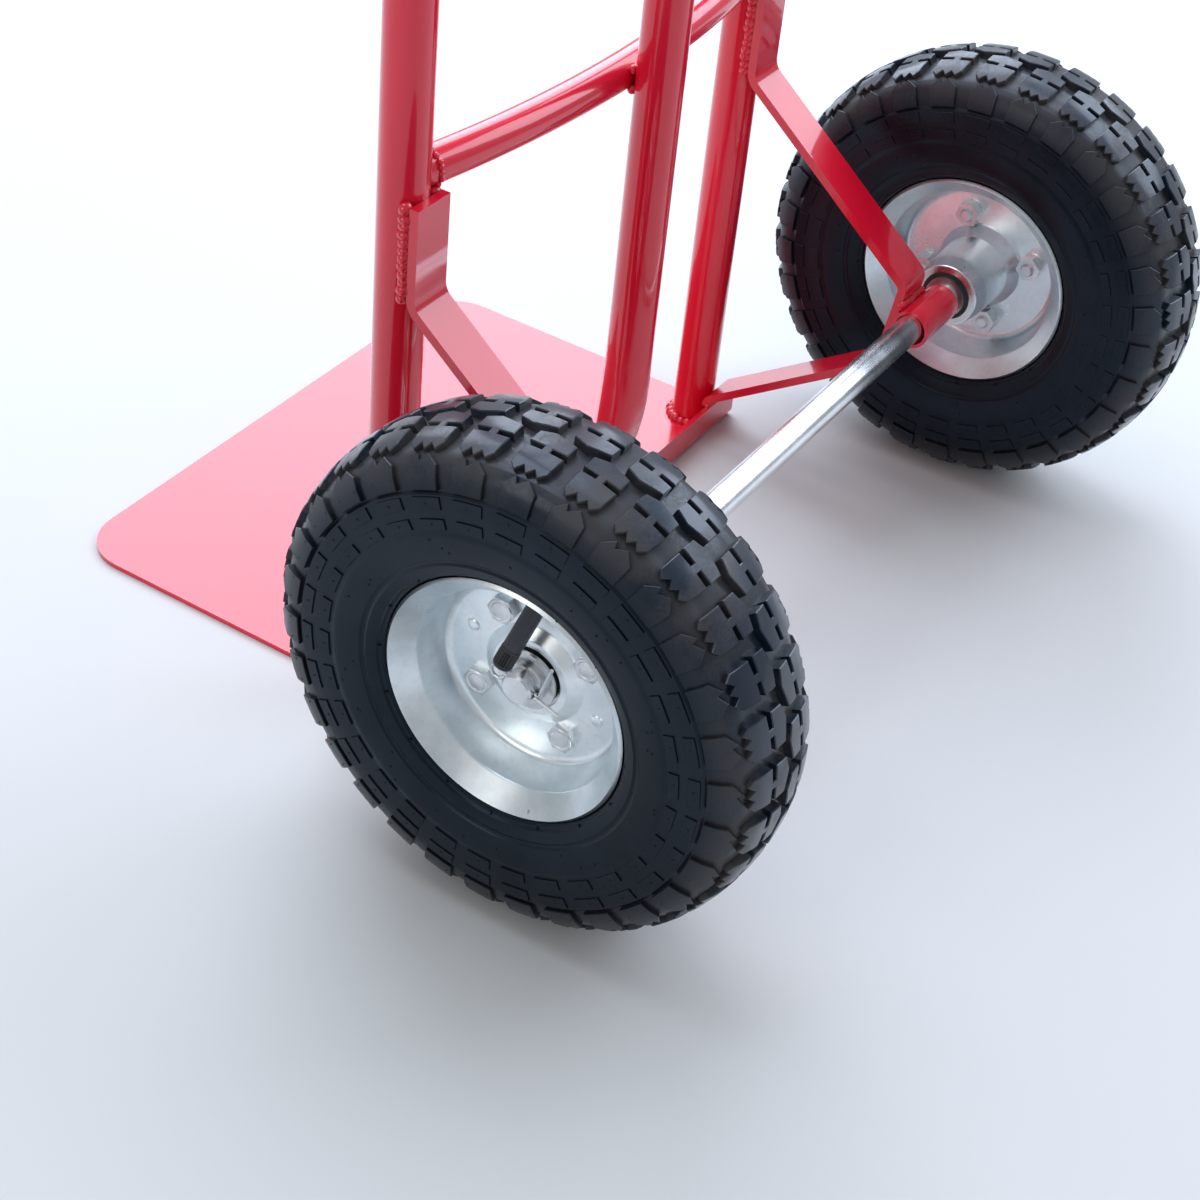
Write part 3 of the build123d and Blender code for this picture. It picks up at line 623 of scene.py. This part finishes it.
def weld(shape, blob, path, size, dice):
    """A run of overlapping weld drops along a path of points."""
    for point in path:
        shake = Vector((dice.uniform(-0.3, 0.3), dice.uniform(-0.3, 0.3), dice.uniform(-0.3, 0.3)))
        stretch = [size * dice.uniform(0.85, 1.15) for _ in range(3)]
        turn = Matrix.Rotation(dice.uniform(0, pi), 4, "Z")
        add_copy(shape, blob, Matrix.Translation(point + shake) @ turn @ Matrix.Diagonal(stretch + [1]))


def straight(start, end, count):
    """Evenly spaced points from the start to the end."""
    return [Vector(start).lerp(Vector(end), index / (count - 1)) for index in range(count)]


def level(x, reach, y, z, count):
    """Points across the truck, as far to either side of x."""
    return straight((x - reach, y, z), (x + reach, y, z), count)


def circle(middle, radius, across, up, count):
    """Points round a circle spanned by two directions."""
    points = []
    for index in range(count):
        angle = 2 * pi * index / count
        reach = Vector(across) * cos(angle) + Vector(up) * sin(angle)
        points.append(Vector(middle) + reach * radius)
    return points


def make_frame_welds():
    """All the weld beads of the frame, under the same powder coat."""
    dice = random.Random(3)
    blob = bead_pattern()
    shape = bmesh.new()
    rail_x = middle_of("left_side_rail").x
    rail_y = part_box("left_side_rail")[0][1] / MM + RAIL_RADIUS
    seam_y = rail_y + 9.6
    stay_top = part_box("left_stay")[1][2] / MM
    sleeve = middle_of("left_axle_sleeve")
    sleeve_y = sleeve.y - 9.6
    bar_heights = [middle_of(f"cross_bar_{number}").z for number in range(1, CROSS_BARS + 1)]
    tube_y = middle_of("centre_tube_plug").y - 12.3
    for side in SIDES.values():
        x = side * rail_x
        weld(shape, blob, circle((x, rail_y, 3.8), 13.6, (1, 0, 0), (0, 1, 0), 20), 3.1, dice)
        for edge in (-1, 1):
            seam_x = x + edge * 11.2
            seam = straight((seam_x, seam_y, stay_top - 2), (seam_x, seam_y, stay_top - 48), 12)
            weld(shape, blob, seam, 3.5, dice)
        weld(shape, blob, level(x, 11, -17.6, FLANGE_TOP + 0.3, 9), 2.4, dice)
        for up in (9.0, -8.0):
            weld(shape, blob, level(x, 12, sleeve_y, sleeve.z + up, 10), 2.8, dice)
        for height in bar_heights:
            toward = Vector((-side, 0.22, 0)).normalized()
            start = Vector((x, rail_y, height)) + toward * 12.9
            weld(shape, blob, circle(start, 9.4, (0, 1, 0), (0, 0, 1), 20), 1.9, dice)
    for height in bar_heights:
        for up in (-5.2, 5.2):
            weld(shape, blob, level(0, 6.5, tube_y, height + up, 7), 2.2, dice)
    weld(shape, blob, level(0, 16, -12.4, FLANGE_TOP + 0.5, 11), 1.6, dice)
    for edge in (-1, 1):
        x = edge * 18.8
        weld(shape, blob, straight((x, -13.6, 4.5), (x, -13.6, 19), 7), 1.9, dice)
    bpy.data.meshes.remove(blob)
    finished("frame_weld_beads", shape, "red_powder_coat", "frame", crease=60)


# Stage -----------------------------------------------------------------------------------------

def soft_light(name, place, aim, width, height, brightness, colour=(1, 1, 1)):
    """A soft box that faces the aim; brightness is that of its surface, 1 being plain white."""
    light = bpy.data.lights.new(name, "AREA")
    light.shape = "RECTANGLE"
    light.size = width
    light.size_y = height
    light.energy = brightness * pi * width * height
    light.color = colour
    made = bpy.data.objects.new(name, light)
    made.location = place
    made.rotation_euler = (Vector(aim) - Vector(place)).to_track_quat("-Z", "Y").to_euler()
    bpy.context.scene.collection.objects.link(made)


def make_stage():
    shape = bmesh.new()
    bmesh.ops.create_circle(shape, cap_ends=True, segments=64, radius=9)
    mesh = bpy.data.meshes.new("floor")
    shape.to_mesh(mesh)
    shape.free()
    mesh.materials.append(floor_paint().material)
    floor = bpy.data.objects.new("floor", mesh)
    bpy.context.scene.collection.objects.link(floor)

    world = bpy.data.worlds.new("studio")
    world.use_nodes = True
    backdrop = world.node_tree.nodes["Background"]
    backdrop.inputs["Color"].default_value = (0.92, 0.96, 1.0, 1)
    backdrop.inputs["Strength"].default_value = 0.45
    bpy.context.scene.world = world

    soft_light("plate side", (-1.9, -1.75, 1.8), (0, -0.12, 0), 2.8, 1.9, 4.6, (0.78, 0.86, 1.0))
    soft_light("window side", (-2.0, 1.05, 1.7), (0, 0.1, 0.1), 2.4, 1.5, 4.0, (0.78, 0.86, 1.0))
    soft_light("overhead", (-0.25, -0.75, 2.5), (0.1, 0, 0.2), 2.2, 1.9, 3.4, (0.78, 0.87, 1.0))
    soft_light("near fill", (2.4, -0.6, 1.3), (0, 0, 0.15), 1.2, 1.2, 2.4, (1.0, 0.97, 0.93))


def make_camera():
    camera = bpy.data.cameras.new("camera")
    camera.lens = 69.1
    camera.sensor_width = 36
    camera.sensor_fit = "HORIZONTAL"
    made = bpy.data.objects.new("camera", camera)
    place = Vector((0.93134, 0.51016, 0.80411))
    right = Vector((-0.5349, 0.8404, 0.0872))
    up = Vector((-0.4867, -0.3909, 0.7813))
    back = Vector((0.6907, 0.3755, 0.6181))
    turn = Matrix((right, up, back)).transposed().to_4x4()
    made.matrix_world = Matrix.Translation(place) @ turn
    bpy.context.scene.collection.objects.link(made)
    bpy.context.scene.camera = made


# The whole truck -------------------------------------------------------------------------------

finish_packed_nodes()
tyre_outline = Outline(TYRE_KNOTS)
one_pitch = tread_pitch(tyre_outline)
one_wall = wall_marks(tyre_outline)
one_bolt = hexagon_bolt()
for side_name, side_sign in SIDES.items():
    make_tyre(side_name, side_sign, tyre_outline, one_pitch, one_wall)
    make_bolts(side_name, side_sign, one_bolt)
    make_dimples(side_name, side_sign)
    make_valve_trim(side_name, side_sign)
make_frame_welds()
make_stage()
make_camera()
bpy.context.scene.view_settings.view_transform = "Standard"
